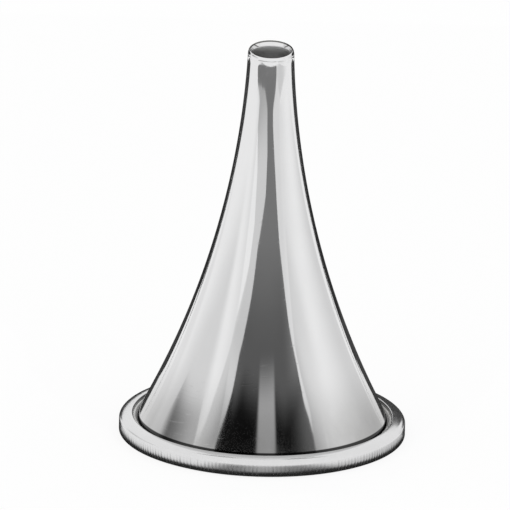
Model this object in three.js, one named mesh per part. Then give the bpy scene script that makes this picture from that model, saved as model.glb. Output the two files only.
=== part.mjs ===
// Ear speculum: a small spun trumpet of plated brass sheet that stands on its wide end.
// The foot of the trumpet is turned out into a narrow flange. A milled half-round ring is slipped over
// the small end, seated on that flange and soft-soldered to it, above and below.
// Millimetres, +Z up along the trumpet's axis, origin at the middle of the plane that it stands on.

import * as THREE from 'three';

// Driving dimensions, mm.
const OVERALL_LENGTH = 38;
const TIP_BORE = 3.6; // diameter of the hole at the small end
const MOUTH_DIAMETER = 25.3; // outside of the sheet, where its flare would reach the standing plane
const FLARE_RADIUS = 83.5; // the outside of the trumpet is one long arc of this radius
const SHEET = 0.35; // thickness of the spun sheet

// The trumpet's two ends. The tip is cut a little slantwise, lowest on the -Y side.
const TIP_SLANT = THREE.MathUtils.degToRad(7.5);
const LIP_OUTER_WIDTH = 0.15; // how far the rounding of the tip reaches in from the outside
const LIP_OUTER_DEPTH = 0.6;
const LIP_BEVEL_WIDTH = 0.18; // a straight bevel opens the bore to the tip
const LIP_BEVEL_DEPTH = 0.5;
const FOOT_BEND = 0.15; // radius in the corner between the trumpet's outside and its flange
const FLANGE_WIDTH = 0.3; // flat part of the flange, beyond the bend
const FLANGE_CHAMFER = 0.08;

// The ring on the foot.
const RING_HEIGHT = 1.8; // above the standing plane
const RING_THICKNESS = 1.27; // from its inner face to its widest point
const BAND_TOP = 1.2; // the milled band stands upright between these two heights
const BAND_BOTTOM = 0.22;
const RING_CORNER = 0.12; // rounding of its upper inner corner
const RING_FOOT_FLAT = 0.1; // narrow flat on its underside, level with the flange
const GUTTER_WIDTH = 0.5; // from the trumpet to the ring, level with the ring's top
const JOINT_GAP = 0.04; // room for solder between two seated faces

// The solder.
const FILLET_BELOW_RING = 0.3; // how far the solder in the gutter stays below the ring's top
const FILLET_DIP = 0.1; // hollow of its surface
const SEAM_RECESS = 0.02; // how far the solder underneath stays above the standing plane

// How finely round shapes are cut into flats.
const SIDES = 64;
const FLARE_STEPS = 12;
const BEND_STEPS = 3;
const LIP_STEPS = 3;
const BEAD_STEPS = 6;
const HEEL_STEPS = 3;
const CORNER_STEPS = 2;
const FILLET_STEPS = 3;
const SAME_POINT = 1e-6; // where one stretch of a section ends and the next starts
const QUARTER = Math.PI / 2;

// A section is drawn with x as the radius and y as the height, and the flare's centre lies outside the trumpet.
const crestRadius = TIP_BORE / 2 + SHEET - LIP_OUTER_WIDTH;
const lipDepth = Math.max(LIP_OUTER_DEPTH, LIP_BEVEL_DEPTH);
const slantBase = OVERALL_LENGTH - lipDepth * Math.cos(TIP_SLANT) - crestRadius * Math.sin(TIP_SLANT);
const lipTop = slantBase + lipDepth;
const tipOutside = new THREE.Vector2(TIP_BORE / 2 + SHEET, lipTop);
const mouthOutside = new THREE.Vector2(MOUTH_DIAMETER / 2, 0);
const flareCentre = centreOfArc(tipOutside, mouthOutside, FLARE_RADIUS);

// The bend of the foot touches the flare on one side and the top of the flange on the other.
const bendCentre = new THREE.Vector2();
bendCentre.y = SHEET + FOOT_BEND;
bendCentre.x = radiusOnArc(FLARE_RADIUS - FOOT_BEND, bendCentre.y);
const bendDirection = bendCentre.clone().sub(flareCentre).angle();
const flangeEdge = bendCentre.x + FLANGE_WIDTH;

const ringInside = radiusOnArc(FLARE_RADIUS, RING_HEIGHT) + GUTTER_WIDTH;
const ringOutside = ringInside + RING_THICKNESS;

function centreOfArc(top, bottom, radius) {
  const chord = bottom.clone().sub(top);
  const away = new THREE.Vector2(-chord.y, chord.x).normalize();
  const rise = Math.sqrt(radius ** 2 - chord.lengthSq() / 4);
  return top.clone().add(bottom).multiplyScalar(0.5).addScaledVector(away, rise);
}

// Where the arc of this radius about the flare's centre passes this height, on the side of the axis.
function radiusOnArc(radius, height) {
  return flareCentre.x - Math.sqrt(radius ** 2 - (flareCentre.y - height) ** 2);
}

function heightOnArc(radius, distance) {
  return flareCentre.y - Math.sqrt(radius ** 2 - (flareCentre.x - distance) ** 2);
}

function directionAt(radius, height) {
  return new THREE.Vector2(radiusOnArc(radius, height), height).sub(flareCentre).angle();
}

// Points of an elliptical arc about a centre, both ends included.
function arc(centre, width, height, from, to, steps) {
  return Array.from({ length: steps + 1 }, (_, i) => {
    const angle = from + ((to - from) * i) / steps;
    return new THREE.Vector2(centre.x + width * Math.cos(angle), centre.y + height * Math.sin(angle));
  });
}

function roundArc(centre, radius, from, to, steps) {
  return arc(centre, radius, radius, from, to, steps);
}

// Turns a section round the axis. It runs anticlockwise, and comes back to where it starts.
function turned(name, section, material) {
  const outline = section.filter((p, i) => i === 0 || p.distanceTo(section[i - 1]) > SAME_POINT);
  outline.push(outline[0].clone());
  const geometry = new THREE.LatheGeometry(outline, SIDES);
  geometry.rotateX(Math.PI / 2);
  const mesh = new THREE.Mesh(geometry, material);
  mesh.name = name;
  return mesh;
}

// Tilts the lip, which is all that lies above the base of the slant.
function slantTip(mesh) {
  const position = mesh.geometry.getAttribute('position');
  const point = new THREE.Vector3();
  const acrossAxis = new THREE.Vector3(1, 0, 0);
  const pivot = new THREE.Vector3(0, 0, slantBase);
  for (let i = 0; i < position.count; i += 1) {
    point.fromBufferAttribute(position, i).sub(pivot);
    if (point.z > -SAME_POINT) {
      point.applyAxisAngle(acrossAxis, TIP_SLANT).add(pivot);
      position.setXYZ(i, point.x, point.y, point.z);
    }
  }
  return mesh;
}

function funnel() {
  const sheetInside = FLARE_RADIUS + SHEET;
  const bevelTop = lipTop - LIP_BEVEL_DEPTH;
  const bevelFoot = new THREE.Vector2(radiusOnArc(sheetInside, bevelTop), bevelTop);
  const roundTop = lipTop - LIP_OUTER_DEPTH;
  const crestBase = new THREE.Vector2(crestRadius, roundTop);
  const roundWidth = radiusOnArc(FLARE_RADIUS, roundTop) - crestRadius;
  const tread = new THREE.Vector2(flangeEdge, 0);
  const spun = turned(
    'funnel',
    [
      ...roundArc(bendCentre, FOOT_BEND + SHEET, bendDirection, 3 * QUARTER, BEND_STEPS),
      new THREE.Vector2(tread.x - FLANGE_CHAMFER, tread.y),
      new THREE.Vector2(tread.x, tread.y + FLANGE_CHAMFER),
      new THREE.Vector2(tread.x, SHEET),
      ...roundArc(bendCentre, FOOT_BEND, 3 * QUARTER, bendDirection, BEND_STEPS),
      ...roundArc(flareCentre, FLARE_RADIUS, bendDirection, directionAt(FLARE_RADIUS, roundTop), FLARE_STEPS),
      ...arc(crestBase, roundWidth, LIP_OUTER_DEPTH, 0, QUARTER, LIP_STEPS),
      new THREE.Vector2(bevelFoot.x + LIP_BEVEL_WIDTH, lipTop),
      ...roundArc(flareCentre, sheetInside, directionAt(sheetInside, bevelTop), bendDirection, FLARE_STEPS),
    ],
    new THREE.MeshStandardMaterial({ color: 0xc9c9cb, roughness: 0.16, metalness: 1 }),
  );
  return slantTip(spun);
}

function rimRing() {
  const seatRadius = FLARE_RADIUS - JOINT_GAP;
  const seatTop = heightOnArc(seatRadius, ringInside);
  const rebate = flangeEdge + JOINT_GAP;
  const shoulder = new THREE.Vector2(ringInside + RING_CORNER, BAND_TOP);
  const cornerCentre = new THREE.Vector2(shoulder.x, RING_HEIGHT - RING_CORNER);
  const heel = new THREE.Vector2(rebate + FLANGE_CHAMFER + RING_FOOT_FLAT, BAND_BOTTOM);
  return turned(
    'rim_ring',
    [
      new THREE.Vector2(rebate, FLANGE_CHAMFER),
      new THREE.Vector2(rebate + FLANGE_CHAMFER, 0),
      ...arc(heel, ringOutside - heel.x, BAND_BOTTOM, -QUARTER, 0, HEEL_STEPS),
      ...arc(shoulder, ringOutside - shoulder.x, RING_HEIGHT - BAND_TOP, 0, QUARTER, BEAD_STEPS),
      ...roundArc(cornerCentre, RING_CORNER, QUARTER, 2 * QUARTER, CORNER_STEPS).slice(1),
      ...roundArc(flareCentre, seatRadius, directionAt(seatRadius, seatTop), bendDirection, CORNER_STEPS),
      ...roundArc(bendCentre, FOOT_BEND - JOINT_GAP, bendDirection, 3 * QUARTER, BEND_STEPS).slice(1),
      new THREE.Vector2(rebate, SHEET + JOINT_GAP),
    ],
    new THREE.MeshStandardMaterial({ color: 0xc4c4c6, roughness: 0.3, metalness: 1 }),
  );
}

function solderFillet() {
  const outside = ringInside - JOINT_GAP;
  const wall = FLARE_RADIUS - JOINT_GAP;
  const top = RING_HEIGHT - FILLET_BELOW_RING;
  const bottom = heightOnArc(wall, outside);
  const inside = radiusOnArc(wall, top);
  const dip = new THREE.Vector2((inside + outside) / 2, top);
  return turned(
    'solder_fillet',
    [
      ...arc(dip, (outside - inside) / 2, -FILLET_DIP, 0, 2 * QUARTER, FILLET_STEPS),
      ...roundArc(flareCentre, wall, directionAt(wall, top), directionAt(wall, bottom), FILLET_STEPS).slice(1),
    ],
    new THREE.MeshStandardMaterial({ color: 0xb3b3b1, roughness: 0.4, metalness: 1 }),
  );
}

function solderSeam() {
  const middle = flangeEdge + JOINT_GAP / 2;
  const halfWidth = FLANGE_CHAMFER - SEAM_RECESS;
  return turned(
    'solder_seam',
    [
      new THREE.Vector2(middle - halfWidth, SEAM_RECESS),
      new THREE.Vector2(middle + halfWidth, SEAM_RECESS),
      new THREE.Vector2(middle, FLANGE_CHAMFER),
    ],
    new THREE.MeshStandardMaterial({ color: 0xb3b3b1, roughness: 0.4, metalness: 1 }),
  );
}

const speculum = new THREE.Group();
speculum.add(funnel(), rimRing(), solderFillet(), solderSeam());

export default speculum;
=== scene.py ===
# An ear speculum in its studio: a spun and polished trumpet of plated brass on a milled, soldered ring.
# Metres, +Z up along the axis, with the origin at the middle of the plane that it stands on.
# The finishes and the cards are worked out in millimetres.

import math

import bpy
from mathutils import Matrix, Vector


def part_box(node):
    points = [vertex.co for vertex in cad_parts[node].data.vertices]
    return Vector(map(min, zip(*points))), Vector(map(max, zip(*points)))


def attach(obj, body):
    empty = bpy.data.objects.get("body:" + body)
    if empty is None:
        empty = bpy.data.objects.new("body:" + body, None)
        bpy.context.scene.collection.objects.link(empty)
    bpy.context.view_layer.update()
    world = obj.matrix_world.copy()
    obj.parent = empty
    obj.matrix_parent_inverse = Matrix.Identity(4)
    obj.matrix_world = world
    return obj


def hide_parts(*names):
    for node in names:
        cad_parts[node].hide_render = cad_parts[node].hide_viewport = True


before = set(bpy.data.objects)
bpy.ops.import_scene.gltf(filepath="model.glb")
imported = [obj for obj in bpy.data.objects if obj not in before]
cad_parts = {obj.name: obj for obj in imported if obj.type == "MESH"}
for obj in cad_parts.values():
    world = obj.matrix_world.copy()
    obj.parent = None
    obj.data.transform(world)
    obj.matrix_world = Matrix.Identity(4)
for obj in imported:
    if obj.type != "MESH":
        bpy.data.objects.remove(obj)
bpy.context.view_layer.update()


# The funnel.
# Thin brass sheet, spun over a chuck into a long flare, with its tip cut slantwise, rounded and bevelled,
# and its mouth turned out into a narrow flange. It is nickel-plated, bright outside and dull inside.

foot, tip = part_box("funnel")
TIP_BORE = 0.0036
MOUTH_DIAMETER = 0.0253
FLARE_RADIUS = 0.0835
SHEET = 0.00035
TIP_SLANT = math.radians(7.5)
LIP_OUTER = Vector((0.00015, 0.0006))
LIP_BEVEL = Vector((0.00018, 0.0005))
FOOT_BEND = 0.00015
FLANGE_WIDTH = 0.0003
FLANGE_CHAMFER = 0.00008
FUNNEL_EDGE = SHEET / 20
FUNNEL_SHARP = math.radians(35)
QUARTER = math.pi / 2
SAME_POINT = SHEET / 1000

# Flats round the axis, and along each stretch of the section.
SIDES = 240
FLARE_STEPS = 72
BORE_STEPS = 60
LIP_STEPS = 12
BEVEL_STEPS = 6
BEND_STEPS = 6

crest = TIP_BORE / 2 + SHEET - LIP_OUTER.x
lip_depth = max(LIP_OUTER.y, LIP_BEVEL.y)
slant_base = tip.z - lip_depth * math.cos(TIP_SLANT) - crest * math.sin(TIP_SLANT)
lip_top = slant_base + lip_depth
tip_outside = Vector((TIP_BORE / 2 + SHEET, lip_top))
mouth_outside = Vector((MOUTH_DIAMETER / 2, foot.z))
chord = mouth_outside - tip_outside
bow = math.sqrt(FLARE_RADIUS**2 - chord.length_squared / 4)
flare_centre = (tip_outside + mouth_outside) / 2 + Vector((-chord.y, chord.x)).normalized() * bow


def flare_distance(radius, height):
    """How far from the axis the arc of this radius about the flare's centre passes this height."""
    return flare_centre.x - math.sqrt(radius**2 - (flare_centre.y - height) ** 2)


def flare_height(radius, distance):
    """The height at which that arc passes this distance from the axis."""
    return flare_centre.y - math.sqrt(radius**2 - (flare_centre.x - distance) ** 2)


def flare_turn(radius, height):
    """The direction, seen from the flare's centre, in which that arc passes this height."""
    return math.pi + math.asin((flare_centre.y - height) / radius)


def arc(centre, across, up, start, end, steps):
    """Points (distance from the axis, height) along an arc, both ends included."""
    turns = [start + (end - start) * step / steps for step in range(steps + 1)]
    return [Vector((centre.x + across * math.cos(t), centre.y + up * math.sin(t))) for t in turns]


def straight(start, end, steps):
    return [start.lerp(end, step / steps) for step in range(steps + 1)]


def traced(name, corners):
    """Starts a piece as a point and extrudes it along a closed outline. The piece stays in edit mode."""
    bpy.ops.object.select_all(action="DESELECT")
    bpy.ops.mesh.primitive_plane_add(size=SHEET)
    piece = bpy.context.object
    piece.name = name
    piece.data.name = name
    bpy.ops.object.mode_set(mode="EDIT")
    bpy.ops.mesh.merge(type="CENTER")
    bpy.ops.transform.translate(value=corners[0])
    for here, there in zip(corners, corners[1:] + corners[:1]):
        bpy.ops.mesh.extrude_region_move(TRANSFORM_OT_translate={"value": there - here})
    bpy.ops.mesh.select_all(action="SELECT")
    bpy.ops.mesh.remove_doubles(threshold=SAME_POINT)
    return piece


def turned(name, outline, steps):
    """Spins a section round the axis into a closed skin."""
    piece = traced(name, [Vector((point.x, 0, point.y)) for point in outline])
    bpy.ops.mesh.spin(steps=steps, angle=4 * QUARTER, center=(0, 0, 0), axis=(0, 0, 1))
    bpy.ops.mesh.select_all(action="SELECT")
    bpy.ops.mesh.remove_doubles(threshold=SAME_POINT)
    bpy.ops.mesh.normals_make_consistent(inside=False)
    bpy.ops.object.mode_set(mode="OBJECT")
    return piece


def pick(piece, wanted):
    """Selects the vertices that are wanted, and leaves the piece in edit mode."""
    bpy.ops.object.mode_set(mode="EDIT")
    bpy.ops.mesh.select_mode(type="VERT")
    bpy.ops.mesh.select_all(action="DESELECT")
    bpy.ops.object.mode_set(mode="OBJECT")
    for vertex in piece.data.vertices:
        vertex.select = wanted(vertex)
    bpy.ops.object.mode_set(mode="EDIT")


def slant_tip(piece):
    """Tilts the lip, which is all that lies above the base of the slant."""
    pick(piece, lambda vertex: vertex.co.z > slant_base - SAME_POINT)
    bpy.ops.transform.rotate(value=-TIP_SLANT, orient_axis="X", center_override=(0, 0, slant_base))
    bpy.ops.object.mode_set(mode="OBJECT")


def soften_edges(piece, width, sharp_above):
    """Takes the sharp corners off with a small bevel, and shades the rest as one smooth skin."""
    bevel = piece.modifiers.new("edges", "BEVEL")
    bevel.width = width
    bevel.segments = 2
    bevel.limit_method = "ANGLE"
    bevel.angle_limit = sharp_above
    bpy.ops.object.modifier_apply(modifier=bevel.name)
    bpy.ops.object.shade_smooth_by_angle(angle=sharp_above)


inside_flare = FLARE_RADIUS + SHEET
bend_height = SHEET + FOOT_BEND
bend_centre = Vector((flare_distance(FLARE_RADIUS - FOOT_BEND, bend_height), bend_height))
bend_turn = flare_turn(FLARE_RADIUS - FOOT_BEND, bend_centre.y)
flange_edge = bend_centre.x + FLANGE_WIDTH
round_height = lip_top - LIP_OUTER.y
round_centre = Vector((crest, round_height))
round_across = flare_distance(FLARE_RADIUS, round_height) - crest
bevel_height = lip_top - LIP_BEVEL.y
bevel_foot = Vector((flare_distance(inside_flare, bevel_height), bevel_height))
lip_turn = flare_turn(FLARE_RADIUS, slant_base)
near_lip = flare_turn(FLARE_RADIUS, slant_base - FLANGE_CHAMFER / 2)
bore_turn = flare_turn(inside_flare, bevel_height)

funnel_outline = [
    *arc(bend_centre, FOOT_BEND + SHEET, FOOT_BEND + SHEET, bend_turn, 3 * QUARTER, BEND_STEPS),
    Vector((flange_edge - FLANGE_CHAMFER, foot.z)),
    Vector((flange_edge, foot.z + FLANGE_CHAMFER)),
    Vector((flange_edge, SHEET)),
    *arc(bend_centre, FOOT_BEND, FOOT_BEND, 3 * QUARTER, bend_turn, BEND_STEPS),
    *arc(flare_centre, FLARE_RADIUS, FLARE_RADIUS, bend_turn, near_lip, FLARE_STEPS)[1:],
    *arc(flare_centre, FLARE_RADIUS, FLARE_RADIUS, near_lip, lip_turn, 1)[1:],
    *arc(round_centre, round_across, LIP_OUTER.y, 0, QUARTER, LIP_STEPS)[1:],
    *straight(bevel_foot + LIP_BEVEL, bevel_foot, BEVEL_STEPS),
    *arc(flare_centre, inside_flare, inside_flare, bore_turn, bend_turn, BORE_STEPS)[1:-1],
]
funnel = turned("funnel_spun", funnel_outline, SIDES)
slant_tip(funnel)
soften_edges(funnel, FUNNEL_EDGE, FUNNEL_SHARP)

IN_MM = 1000

# The sockets of a Mix node that take and give colours. They share their names with its other sockets.
MIX_SHARE, MIX_FIRST, MIX_SECOND, MIX_RESULT = 0, 6, 7, 2


class Reading:
    """One output of a shader node. Arithmetic on it adds Math nodes to the same finish."""

    def __init__(self, finish, socket):
        self.finish = finish
        self.socket = socket

    def worked(self, operation, *values):
        inputs = dict(enumerate(values))
        return self.finish.node("ShaderNodeMath", {"operation": operation}, inputs)

    def __add__(self, other):
        return self.worked("ADD", self, other)

    def __sub__(self, other):
        return self.worked("SUBTRACT", self, other)

    def __rsub__(self, other):
        return self.worked("SUBTRACT", other, self)

    def __mul__(self, other):
        return self.worked("MULTIPLY", self, other)

    def __pow__(self, other):
        return self.worked("POWER", self, other)

    __radd__ = __add__
    __rmul__ = __mul__

    def ramp(self, low, high):
        """0 below low, 1 above high, and smooth between them. It falls instead where low is above high."""
        settings = {"interpolation_type": "SMOOTHSTEP"}
        return self.finish.node("ShaderNodeMapRange", settings, {0: self, 1: low, 2: high})


def length(one, other):
    """How far apart two points are that differ by these two readings, taken at right angles."""
    return (one * one + other * other) ** 0.5


class Finish:
    """A metal finish being built. Its one method for nodes takes a type, the settings and the inputs."""

    def __init__(self, name):
        self.material = bpy.data.materials.new(name)
        self.material.use_nodes = True
        self.surface = self.material.node_tree.nodes["Principled BSDF"]
        self.surface.inputs["Metallic"].default_value = 1

    def node(self, kind, settings, inputs, output=0):
        made = self.material.node_tree.nodes.new(kind)
        for name, value in settings.items():
            setattr(made, name, value)
        for name, value in inputs.items():
            self.feed(made.inputs[name], value)
        return Reading(self, made.outputs[output])

    def feed(self, socket, value):
        if isinstance(value, Reading):
            self.material.node_tree.links.new(value.socket, socket)
        else:
            socket.default_value = value

    def along(self, axes):
        """Where a point of the piece lies along each of these axes, in millimetres."""
        place = self.node("ShaderNodeTexCoord", {}, {}, "Object")
        return [self.node("ShaderNodeSeparateXYZ", {}, {0: place}, axis) * IN_MM for axis in axes]

    def turn(self, towards, across):
        """How far round the axis a point lies, in radians, from the first direction to the second."""
        return self.node("ShaderNodeMath", {"operation": "ARCTAN2"}, {0: across, 1: towards})

    def noise(self, x, y, z, detail=2):
        vector = self.node("ShaderNodeCombineXYZ", {}, {0: x, 1: y, 2: z})
        return self.node("ShaderNodeTexNoise", {}, {"Vector": vector, "Scale": 1, "Detail": detail})

    def blend(self, share, first, second):
        """A colour between two others."""
        inputs = {MIX_SHARE: share, MIX_FIRST: first, MIX_SECOND: second}
        return self.node("ShaderNodeMix", {"data_type": "RGBA"}, inputs, MIX_RESULT)

    def bump(self, height, depth):
        """The normal of a surface whose height varies by this depth, in metres."""
        return self.node("ShaderNodeBump", {}, {"Height": height, "Strength": 1, "Distance": depth}, "Normal")

    def paint(self, colour, roughness, normal):
        self.feed(self.surface.inputs["Base Color"], colour)
        self.feed(self.surface.inputs["Roughness"], roughness)
        self.feed(self.surface.inputs["Normal"], normal)
        return self.material


BRIGHT_DARKER = (0.77, 0.77, 0.775, 1)
BRIGHT_LIGHTER = (0.81, 0.81, 0.812, 1)
DULL_DARKER = (0.61, 0.61, 0.61, 1)
DULL_LIGHTER = (0.72, 0.72, 0.715, 1)
# Tarnish and painted shade towards the foot of the funnel, painted darker still towards +X.
TARNISH_AND_SHADE = (0.32, 0.317, 0.31, 1)
# A dark line on the crest of the lip: some wear of the plate, and painted shade that draws the rim's outline.
WORN_AND_SHADED_CREST = (0.1, 0.097, 0.09, 1)
# Painted shade for the crease just above the ring.
PAINTED_JOINT_SHADE = (0.02, 0.02, 0.02, 1)
POLISH_DEPTH = 0.0000012
SCUFF_LEVELS = (0.66, 0.74)

# Where one look passes into the next, in millimetres: at the lip, through the sheet and above the foot.
BEVEL_FADE = 0.03
CREST_SHADE_STARTS, CREST_SHADE_FULL = 0.15, 0.1
CREST_SHADE_IN_SHEET = (0.11, 0.15)
INSIDE_IN_SHEET = (0.08, 0.28)
TARNISH_AND_SHADE_HEIGHTS = (8.5, 1.9)
JOINT_SHADE_HEIGHTS = (1.88, 1.8)

polish = Finish("polished_plate")
x, y, z = polish.along("XYZ")
out = length(x, y)
depth = length(flare_centre.x * IN_MM - out, flare_centre.y * IN_MM - z) - FLARE_RADIUS * IN_MM
along_cut = z - y * math.tan(TIP_SLANT)
bevel_mm, lip_mm = bevel_height * IN_MM, lip_top * IN_MM
below_lip = along_cut.ramp(bevel_mm + BEVEL_FADE, bevel_mm - BEVEL_FADE)
# The crest of the lip is painted dark: painted shade for the rim's outline, where the plate is also worn.
crest_wear_and_shade = along_cut.ramp(lip_mm - CREST_SHADE_STARTS, lip_mm - CREST_SHADE_FULL) * depth.ramp(*CREST_SHADE_IN_SHEET)
inside = depth.ramp(*INSIDE_IN_SHEET) * below_lip
lines = polish.noise(x * 0.05, y * 0.05, z * 9, 3)
waves = polish.noise(x * 0.25, y * 0.25, z * 0.12, 1)
haze = polish.noise(x * 0.6, y * 0.6, z * 0.35, 4)
turn = polish.turn(x, y)
scuffs = polish.noise(turn * 3 + z * 1.3, out * 0.4, z * 6 - turn * 9).ramp(*SCUFF_LEVELS)
outside = 1 - inside
# Darker towards the foot: partly tarnish, partly painted shade. The extra share towards +X below is painted
# shade alone.
tarnish_and_shade = z.ramp(*TARNISH_AND_SHADE_HEIGHTS) * outside
# Painted shade: a near-black band on the funnel in the crease just above the ring.
crease_shade = z.ramp(*JOINT_SHADE_HEIGHTS) * outside
bright = polish.blend(haze, BRIGHT_DARKER, BRIGHT_LIGHTER)
soiled_and_shaded = polish.blend(tarnish_and_shade * (0.3 + haze * 0.3 + x.ramp(5, 12) * 0.2), bright, TARNISH_AND_SHADE)
worn_and_shaded = polish.blend(crest_wear_and_shade * 0.9, soiled_and_shaded, WORN_AND_SHADED_CREST)
joint_shaded = polish.blend(crease_shade * 0.95, worn_and_shaded, PAINTED_JOINT_SHADE)
dull = polish.blend(lines, DULL_DARKER, DULL_LIGHTER)
colour = polish.blend(inside, joint_shaded, dull)
roughness = 0.03 + haze * 0.04 + scuffs * 0.05 + inside * 0.3 + tarnish_and_shade * 0.03
relief = lines * (0.2 + inside * 1.6) + waves * 9 + scuffs * 0.3
funnel.data.materials.append(polish.paint(colour, roughness, polish.bump(relief, POLISH_DEPTH)))
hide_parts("funnel")
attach(funnel, "root")


# The finger ring.
# A half-round brass ring, turned to sit on the funnel's flange and milled round its widest part for grip.
# It is slipped over the small end, soldered in place and satin-plated with the rest.

ring_foot, ring_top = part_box("rim_ring")
RING_THICKNESS = 0.00127
BAND_TOP = 0.0012
BAND_BOTTOM = 0.00022
RING_CORNER = 0.00012
RING_FOOT_FLAT = 0.0001
JOINT_GAP = 0.00004
MILLED_DEPTH = 0.00002
TEETH = 220
STEPS_PER_TOOTH = 4
HEEL_STEPS = 8
BEAD_STEPS = 16
CORNER_STEPS = 5
SEAT_STEPS = 3
RING_SHARP = math.radians(28)

ring_outside = ring_top.x
ring_inside = ring_outside - RING_THICKNESS
seat = FLARE_RADIUS - JOINT_GAP
rebate = flange_edge + JOINT_GAP
seat_turn = flare_turn(seat, flare_height(seat, ring_inside))
shoulder = Vector((ring_inside + RING_CORNER, BAND_TOP))
corner_centre = Vector((shoulder.x, ring_top.z - RING_CORNER))
heel = Vector((rebate + FLANGE_CHAMFER + RING_FOOT_FLAT, BAND_BOTTOM))
seat_bend = FOOT_BEND - JOINT_GAP

ring_outline = [
    Vector((rebate, FLANGE_CHAMFER)),
    Vector((rebate + FLANGE_CHAMFER, ring_foot.z)),
    *arc(heel, ring_outside - heel.x, BAND_BOTTOM, -QUARTER, 0, HEEL_STEPS),
    *arc(shoulder, ring_outside - shoulder.x, ring_top.z - BAND_TOP, 0, QUARTER, BEAD_STEPS),
    *arc(corner_centre, RING_CORNER, RING_CORNER, QUARTER, 2 * QUARTER, CORNER_STEPS)[1:],
    *arc(flare_centre, seat, seat, seat_turn, bend_turn, SEAT_STEPS),
    *arc(bend_centre, seat_bend, seat_bend, bend_turn, 3 * QUARTER, SEAT_STEPS)[1:],
    Vector((rebate, SHEET + JOINT_GAP)),
]
ring = turned("rim_ring_milled", ring_outline, TEETH * STEPS_PER_TOOTH)


def press_grooves(piece):
    """Presses the groove between every two teeth into the widest part of the ring."""
    bottom = ring_outside - MILLED_DEPTH
    step = 4 * QUARTER / (TEETH * STEPS_PER_TOOTH)

    def in_groove(vertex):
        column = round(math.atan2(vertex.co.y, vertex.co.x) / step)
        return column % STEPS_PER_TOOTH == 0 and vertex.co.xy.length > bottom

    pick(piece, in_groove)
    pressed = bottom / ring_outside
    bpy.ops.transform.resize(value=(pressed, pressed, 1), center_override=(0, 0, 0))
    bpy.ops.object.mode_set(mode="OBJECT")


press_grooves(ring)
bpy.ops.object.shade_smooth_by_angle(angle=RING_SHARP)

SATIN_DARKER = (0.68, 0.68, 0.685, 1)
SATIN_LIGHTER = (0.74, 0.74, 0.742, 1)
# Dirt for the grooves, and painted shade for the ring's inner face.
GROOVE_DIRT_AND_INNER_SHADE = (0.05, 0.05, 0.05, 1)
SATIN_DEPTH = 0.000002
WEAR_LEVELS = (0.35, 0.65)

# Where the marks begin, in millimetres: the groove dirt in from the widest part, the painted shade out from
# the inner face, and the groove dirt in height.
MILLED_STARTS, MILLED_FULL = 0.1, 0.03
INNER_SHADE_STARTS, INNER_SHADE_FULL = 0.09, 0.02
DIRT_HEIGHTS = (1.35, 0.6)

satin = Finish("satin_plate")
x, y, z = satin.along("XYZ")
out = length(x, y)
turn = satin.turn(0 - y, x)
tooth = satin.node("ShaderNodeMath", {"operation": "COSINE"}, {0: turn * TEETH})
outside_mm, inside_mm = ring_outside * IN_MM, ring_inside * IN_MM
milled = out.ramp(outside_mm - MILLED_STARTS, outside_mm - MILLED_FULL)
wear = satin.noise(turn * 40, z * 0.5, 0, 3).ramp(*WEAR_LEVELS)
in_groove = tooth.ramp(0.1, 0.9) * milled * wear * z.ramp(*DIRT_HEIGHTS)
brushed = satin.noise(x * 0.08, y * 0.08, (z + out) * 11, 3)
haze = satin.noise(x * 0.8, y * 0.8, z * 0.8, 4)
# Painted shade: the inner face, in the gap against the funnel, goes nearly black.
inner_face_shade = out.ramp(inside_mm + INNER_SHADE_STARTS, inside_mm + INNER_SHADE_FULL)
plate = satin.blend(haze, SATIN_DARKER, SATIN_LIGHTER)
colour = satin.blend(in_groove * 0.5 + inner_face_shade * 0.9, plate, GROOVE_DIRT_AND_INNER_SHADE)
roughness = 0.12 + haze * 0.08 + in_groove * 0.15
relief = brushed * 0.7 + haze * 1.5
ring.data.materials.append(satin.paint(colour, roughness, satin.bump(relief, SATIN_DEPTH)))
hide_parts("rim_ring")
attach(ring, "root")


# The solder.
# Soft solder holds the ring: a hollow fillet run into the gutter round the funnel, and a thin line in the
# groove underneath. It is wiped by hand, so its surface is a little uneven and duller than the plate.

SOLDER_BELOW_RING = 0.0003
SOLDER_DIP = 0.0001
SEAM_RECESS = 0.00002
LUMP_SIZE = 0.0015
LUMP_HEIGHT = 0.00003
FILLET_STEPS = 10
WALL_STEPS = 4
SEAM_STEPS = 4
SOLDER_SHARP = math.radians(40)

solder_level = ring_top.z - SOLDER_BELOW_RING
gutter_inside = flare_distance(FLARE_RADIUS, solder_level)
gutter_middle = Vector(((gutter_inside + ring_inside) / 2, solder_level))
gutter_half = (ring_inside - gutter_inside) / 2
gutter_foot = flare_height(FLARE_RADIUS, ring_inside)
gutter_turns = [flare_turn(FLARE_RADIUS, height) for height in (solder_level, gutter_foot)]

fillet_outline = [
    *arc(gutter_middle, gutter_half, -SOLDER_DIP, 0, 2 * QUARTER, FILLET_STEPS),
    *arc(flare_centre, FLARE_RADIUS, FLARE_RADIUS, *gutter_turns, WALL_STEPS)[1:],
]
fillet = turned("solder_fillet_wiped", fillet_outline, SIDES)
lumps = bpy.data.textures.new("solder_lumps", "CLOUDS")
lumps.noise_scale = LUMP_SIZE
uneven = fillet.modifiers.new("uneven", "DISPLACE")
uneven.texture = lumps
uneven.direction = "Z"
uneven.strength = LUMP_HEIGHT
bpy.ops.object.modifier_apply(modifier=uneven.name)
bpy.ops.object.shade_smooth_by_angle(angle=SOLDER_SHARP)

seam_middle = flange_edge + JOINT_GAP / 2
seam_half = FLANGE_CHAMFER - SEAM_RECESS
seam_foot = Vector((seam_middle, SEAM_RECESS))
seam_outline = [
    *arc(seam_foot, seam_half, -SEAM_RECESS / 2, 2 * QUARTER, 0, SEAM_STEPS),
    Vector((seam_middle, FLANGE_CHAMFER)),
]
seam = turned("solder_seam_wiped", seam_outline, SIDES)
bpy.ops.object.shade_smooth_by_angle(angle=SOLDER_SHARP)

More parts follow.
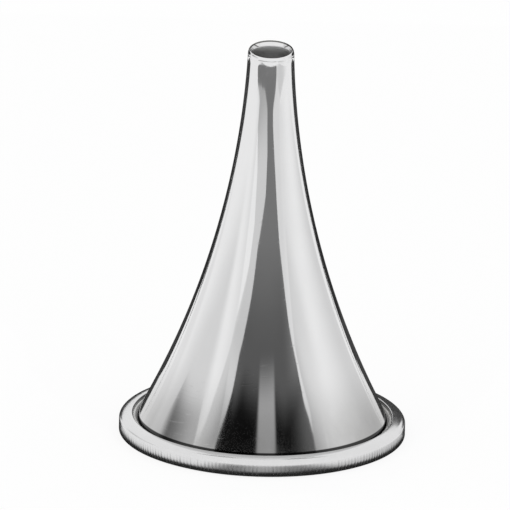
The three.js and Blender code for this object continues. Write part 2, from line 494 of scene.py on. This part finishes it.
SOLDER_DARKER = (0.5, 0.5, 0.5, 1)
SOLDER_LIGHTER = (0.62, 0.62, 0.61, 1)
SOLDER_STAIN = (0.3, 0.29, 0.27, 1)
STAIN_LEVELS = (0.35, 0.7)
GRAIN_DEPTH = 0.000004

solder = Finish("solder")
x, y, z = solder.along("XYZ")
grain = solder.noise(x * 2.5, y * 2.5, z * 2.5, 4)
stain = solder.noise(x * 0.5, y * 0.5, z * 0.5, 3).ramp(*STAIN_LEVELS)
metal = solder.blend(grain, SOLDER_DARKER, SOLDER_LIGHTER)
colour = solder.blend(stain * 0.4, metal, SOLDER_STAIN)
finish = solder.paint(colour, 0.28 + stain * 0.2, solder.bump(grain, GRAIN_DEPTH))
for piece, node in ((fillet, "solder_fillet"), (seam, "solder_seam")):
    piece.data.materials.append(finish)
    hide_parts(node)
    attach(piece, "root")


# The table and the backdrop.
# A pale floor under a white studio. The camera, the metal and any glass see it brighter than its paint,
# so that it meets the white behind it, and it keeps part of the speculum's soft shadow.

FLOOR_SIZE = 4
FLOOR_GLOW = 0.82
PAPER = (0.97, 0.97, 0.97, 1)
PAPER_ROUGHNESS = 0.9
WHITE = (1, 1, 1, 1)

bpy.ops.object.select_all(action="DESELECT")
bpy.ops.mesh.primitive_plane_add(size=FLOOR_SIZE)
floor = bpy.context.object
floor.name = "floor"
paper = Finish("floor_paper")
paper.surface.inputs["Metallic"].default_value = 0
paper.surface.inputs["Base Color"].default_value = PAPER
paper.surface.inputs["Roughness"].default_value = PAPER_ROUGHNESS
rays = ("Is Camera Ray", "Is Glossy Ray", "Is Transmission Ray")
camera_ray, glossy_ray, glass_ray = [paper.node("ShaderNodeLightPath", {}, {}, ray) for ray in rays]
glow_share = (camera_ray + glossy_ray + glass_ray) * FLOOR_GLOW
glow = paper.node("ShaderNodeEmission", {}, {"Color": WHITE, "Strength": 1})
lit = Reading(paper, paper.surface.outputs[0])
shown = paper.node("ShaderNodeMixShader", {}, {0: glow_share, 1: lit, 2: glow})
paper.feed(paper.material.node_tree.nodes["Material Output"].inputs["Surface"], shown)
floor.data.materials.append(paper.material)

world = bpy.data.worlds.new("white_studio")
world.use_nodes = True
world.node_tree.nodes["Background"].inputs["Color"].default_value = WHITE
world.node_tree.nodes["Background"].inputs["Strength"].default_value = 1
bpy.context.scene.world = world


# The cards.
# Boards that only the metal's reflections see, as a photographer sets them up: large ones round the table
# and on it, small ones close to the ring and the tip. Dark ones draw, light ones open, grey ones shade.

CARD_DISTANCE = 160
OVER_FLOOR = 0.05


class Card(Finish):
    """Paper that glows in its own grey, and that can fade out towards an edge."""

    def __init__(self, name):
        super().__init__(name)
        self.surface.inputs["Metallic"].default_value = 0
        self.surface.inputs["Base Color"].default_value = (0, 0, 0, 1)
        self.surface.inputs["Specular IOR Level"].default_value = 0
        self.surface.inputs["Emission Strength"].default_value = 1

    def hang(self, corners, shade, cover=1):
        """Cuts the card along its corners, given in millimetres."""
        board = traced(self.material.name, [Vector(corner) / IN_MM for corner in corners])
        bpy.ops.mesh.edge_face_add()
        bpy.ops.object.mode_set(mode="OBJECT")
        grey = self.node("ShaderNodeCombineXYZ", {}, {0: shade, 1: shade, 2: shade})
        self.feed(self.surface.inputs["Emission Color"], grey)
        self.feed(self.surface.inputs["Alpha"], cover)
        board.data.materials.append(self.material)
        board.visible_camera = False
        board.visible_diffuse = False
        board.visible_shadow = False


def in_front(corners, distance=CARD_DISTANCE):
    return [(x, -distance, z) for x, z in corners]


def at_side(side, corners, distance=CARD_DISTANCE):
    return [(side * distance, y, z) for y, z in corners]


def on_floor(corners, height=OVER_FLOOR):
    return [(x, y, height) for x, y in corners]


def upright(start, end, foot, start_top, end_top):
    """The corners of a card that stands straight up between two places, on a level foot."""
    return [(*start, foot), (*end, foot), (*end, end_top), (*start, start_top)]


# In front: the dark flag, whose reflection is the stripe down the funnel, and a lighter strip before it.
flag_side = [(-70, 6.5), (-27, 14), (-20, 20), (-12, 26), (-14, 36), (-34, 43), (-55, 51), (-65, 60)]
flag_side += [(-79, 70), (-91, 78), (-105, 87), (-118, 103), (-132, 115), (-151, 129), (-166, 142)]
flag_side += [(-168, 165)]
flag_top = [(-60, 135), (0, 125), (60, 125), (140, 155), (180, 175), (255, 178)]
flag_right = [(236, 163), (213, 147), (198, 134), (179, 122), (170, 112), (157, 101), (143, 90), (128, 80)]
flag_right += [(120, 72), (108, 62), (90, 51), (79, 40), (68, 31), (54, 24), (41, 18), (39, 14)]
flag_right += [(70, 7), (88, 0)]
front = Card("front_flag")
x, z = front.along("XZ")
dark_from = 84 + x.ramp(25, 80) * 10 + x.ramp(-65, -110) * 12
flag_shade = 0.215 - z.ramp(40, 80) * 0.1 - (z - dark_from).ramp(0, 20) * 0.11 + x.ramp(75, 190) * 0.14
front.hang(in_front([(-130, 0)] + flag_side + flag_top + flag_right), flag_shade)

strip = Card("front_strip")
x, z = strip.along("XZ")
strip_shape = [(-18, 76), (44, 76), (44, 130), (-18, 130)]
strip_cover = z.ramp(78, 97) * x.ramp(-18, -8) * x.ramp(44, 34)
strip.hang(in_front(strip_shape, CARD_DISTANCE - 1), 0.45, strip_cover)

# On the floor: the flag's lower end, and the greys to its left and right.
floor_far = [(-135, -66), (-152, -72), (-163, -99), (-147, -129), (-122, -161), (85, -161)]
floor_near = [(75, -132), (40, -146), (0, -152), (-50, -143), (-100, -113)]
Card("front_floor").hang(on_floor(floor_far + floor_near), 0.215)
floor_left = [(-163, -99), (-147, -129), (-122, -161), (-240, -161), (-215, -130), (-190, -98), (-176, -80)]
Card("left_floor").hang(on_floor(floor_left), 0.5)
right_floor = Card("right_floor")
[y] = right_floor.along("Y")
floor_right = [(90, -161), (75, -120), (70, -60), (110, 60), (160, 60), (160, -161)]
right_floor.hang(on_floor(floor_right), 0.72 + y.ramp(-110, 0) * 0.28)

# In front again: the greys beside the flag.
beside = Card("grey_beside_flag")
[z] = beside.along("Z")
beside_out = [(-240, 160), (-240, 118), (-175, 95), (-135, 75), (-110, 60), (-95, 45), (-112, 28)]
beside_out += [(-150, 14), (-220, 0), (-130, 0)]
beside_shade = 0.5 + z.ramp(4, 30) * 0.24 - z.ramp(50, 80) * 0.06
beside_shade = beside_shade + z.ramp(82, 102) * 0.08 - z.ramp(104, 126) * 0.15
beside.hang(in_front(beside_out + flag_side), beside_shade)
beyond = Card("grey_right_of_flag")
[x] = beyond.along("X")
right_side = [(88, 0), (260, 0), (260, 163)] + flag_right
beyond.hang(in_front(right_side, CARD_DISTANCE + 1), 0.82 + x.ramp(110, 165) * 0.06)

# Close by: light ones before the lip, and in a row round the front of the ring.
lip_card = [(-60, 31.4), (60, 31.4), (60, 80), (-60, 80)]
Card("lip_card").hang(in_front(lip_card, 30), 1)
ROW_OUT = 16.5
ROW_FOOT = 0.6
FRONT_TOP, SIDE_TOP, END_TOP = 5, 3.4, 2.4
Card("ring_front").hang(upright((-7, -ROW_OUT), (7, -ROW_OUT), ROW_FOOT, FRONT_TOP, FRONT_TOP), 1)
for side, name in ((-1, "left"), (1, "right")):
    near, middle, far = (side * 7, -ROW_OUT), (side * ROW_OUT, -5), (side * ROW_OUT, 1)
    Card(f"ring_front_{name}").hang(upright(middle, near, ROW_FOOT, SIDE_TOP, FRONT_TOP), 1)
    Card(f"ring_{name}").hang(upright(far, middle, ROW_FOOT, END_TOP, SIDE_TOP), 1)

# At the left: a grey wall, a light one below it, and a dark patch before both.
left_wall = Card("left_wall")
[z] = left_wall.along("Z")
wall_foot = [(-280, 76), (-155, 81), (-145, 88), (-129, 89), (-106, 90.5), (-98, 92), (-88, 93), (-81, 93)]
wall_end = [(-65, 85.5), (-65, 100), (-100, 118), (-160, 135), (-280, 150)]
left_wall.hang(at_side(-1, wall_foot + wall_end), 0.75 - z.ramp(92, 130) * 0.26)
below_wall = Card("left_below_wall")
y, z = below_wall.along("YZ")
below_shape = [(-160, 0), (160, 0), (160, 100), (-160, 100)]
below_shade = 1 - z.ramp(15, 45) * y.ramp(-85, -45) * 0.2 - y.ramp(-90, -150) * 0.1 - y.ramp(80, 110) * 0.1
below_wall.hang(at_side(-1, below_shape, CARD_DISTANCE + 1), below_shade)

patch = Card("left_patch")
y, z = patch.along("YZ")
patch_shape = [(-34, 47), (-45, 54), (-56, 60), (-61, 68), (-63, 77), (-66, 84), (-69, 91)]
patch_shape += [(58, 91), (58, 41), (-30, 41)]
patch_cover = (z + y * 0.36).ramp(49, 57) * y.ramp(55, 22)
patch.hang(at_side(-1, patch_shape, CARD_DISTANCE - 1), 0.2 + y.ramp(25, -60) * 0.41, patch_cover)

# At the right: one light wall, greyer towards its far end and its top.
right_wall = Card("right_wall")
y, z = right_wall.along("YZ")
right_shape = [(-118, 100), (-160, 95), (-160, 3), (215, 3), (215, 40), (60, 55), (0, 78)]
right_shape += [(-60, 105), (-118, 135)]
right_shade = 0.88 + y.ramp(-160, -30) * 0.12 - y.ramp(-30, 100) * 0.22 - z.ramp(75, 125) * 0.3
right_shade = right_shade - z.ramp(38, 62) * y.ramp(-20, -90) * 0.1
right_wall.hang(at_side(1, right_shape), right_shade)

# On the floor behind: a dark fan, which draws the funnel's outline on both sides.
half_fan = [(14.4, -0.5), (17.5, 4.5), (20, 10), (22, 17), (23, 25), (27, 38), (37, 52), (55, 83.5)]
half_fan += [(72, 96.5), (80, 99), (86, 94), (104, 80), (120, 64), (130, 68), (130, 84), (124, 99)]
half_fan += [(106, 108), (88, 106), (51, 130)]
other_half = [(-x, y) for x, y in reversed(half_fan)]
Card("back_fan").hang(on_floor([(0, 14.2)] + half_fan + other_half), 0.05)

# On the floor under the ring's edge: a ragged grey patch in front, and a dark collar round the front half.
# Seen in the ring, both stand in for shade on the table round its foot: painted shade in its reflection.
patch_front = Card("front_patch")
x, y = patch_front.along("XY")
out = length(x, y)
ragged = (out + patch_front.noise(x * 3, y * 0.4, 0) * 1.4).ramp(18.9, 18.2)
patch_grey = 0.25 + x.ramp(-3.5, 0) * x.ramp(4, 0.5) * 0.17
patch_cover = x.ramp(-8, -4) * x.ramp(10, 5) * ragged
patch_front.hang(on_floor([(-9, -18), (11, -18), (11, -11), (-9, -11)]), patch_grey, patch_cover)

COLLAR_OUT = 17
COLLAR_IN = 12.9
COLLAR_STEPS = 48
collar_ends = [-2.1 * QUARTER, 0.1 * QUARTER]
collar = Card("floor_collar")
x, y = collar.along("XY")
out = length(x, y)
from_right = length(x - 0.7, y)
collar_out = arc(Vector((0.3, 0)), COLLAR_OUT, COLLAR_OUT, *collar_ends, COLLAR_STEPS)
collar_in = arc(Vector((0, 0)), COLLAR_IN, COLLAR_IN, *collar_ends[::-1], COLLAR_STEPS)
hazy = (from_right + x.ramp(-7, -2) * x.ramp(8, 3) * 0.9).ramp(16.3, 14.2)
hazy = hazy * (0.3 + x.ramp(-7, -2) * x.ramp(9.5, 5.5) * 0.55)
crisp = (out + (x.ramp(9, 13) + x.ramp(-9, -13)) * 0.2).ramp(14.75, 14.1)
collar_cover = crisp + (1 - crisp) * hazy
collar.hang(on_floor(collar_out + collar_in, OVER_FLOOR * 2), 0.02, collar_cover)

# Behind: dark ones, which draw the outline at the tip and at the back of the ring.
tip_back = Card("tip_back_card")
[z] = tip_back.along("Z")
tip_back.hang(upright((-16, 8), (16, 8), 34.4, 42, 42), 0.04, z.ramp(34.4, 35.3))
Card("ring_back_card").hang(upright((-42, 60), (46, 60), 0.1, 13.5, 13.5), 0.03)
Card("right_back_card").hang(upright((10, 16), (18, 16), 0.3, 8.7, 8.7), 0.06)


# The camera.
# A long lens at the photograph's angle: a little above the table, rolled by the same small amount, and aimed
# so that the foot of the axis falls on the pixel where the photograph has it.

PICTURE_SIZE = 510
PIXELS_PER_METRE = 10640
VIEW_ELEVATION = math.radians(18)
VIEW_ROLL = math.radians(1.4)
FOOT_PIXEL = Vector((261.8, 432.2))
LENS = 1400
SENSOR = 36

bpy.ops.object.camera_add()
camera = bpy.context.object
camera.data.lens = LENS
camera.data.sensor_width = SENSOR
back = Vector((0, -math.cos(VIEW_ELEVATION), math.sin(VIEW_ELEVATION)))
level_right = Vector((1, 0, 0))
level_up = back.cross(level_right)
right = level_right * math.cos(VIEW_ROLL) + level_up * math.sin(VIEW_ROLL)
up = back.cross(right)
to_middle = (Vector((PICTURE_SIZE, PICTURE_SIZE)) / 2 - FOOT_PIXEL) / PIXELS_PER_METRE
aim = right * to_middle.x - up * to_middle.y
camera.location = aim + back * LENS / SENSOR * PICTURE_SIZE / PIXELS_PER_METRE
camera.rotation_euler = Matrix((right, up, back)).transposed().to_euler()
camera.data.clip_end = FLOOR_SIZE * 2
bpy.context.scene.camera = camera
bpy.context.scene.view_settings.view_transform = "Standard"
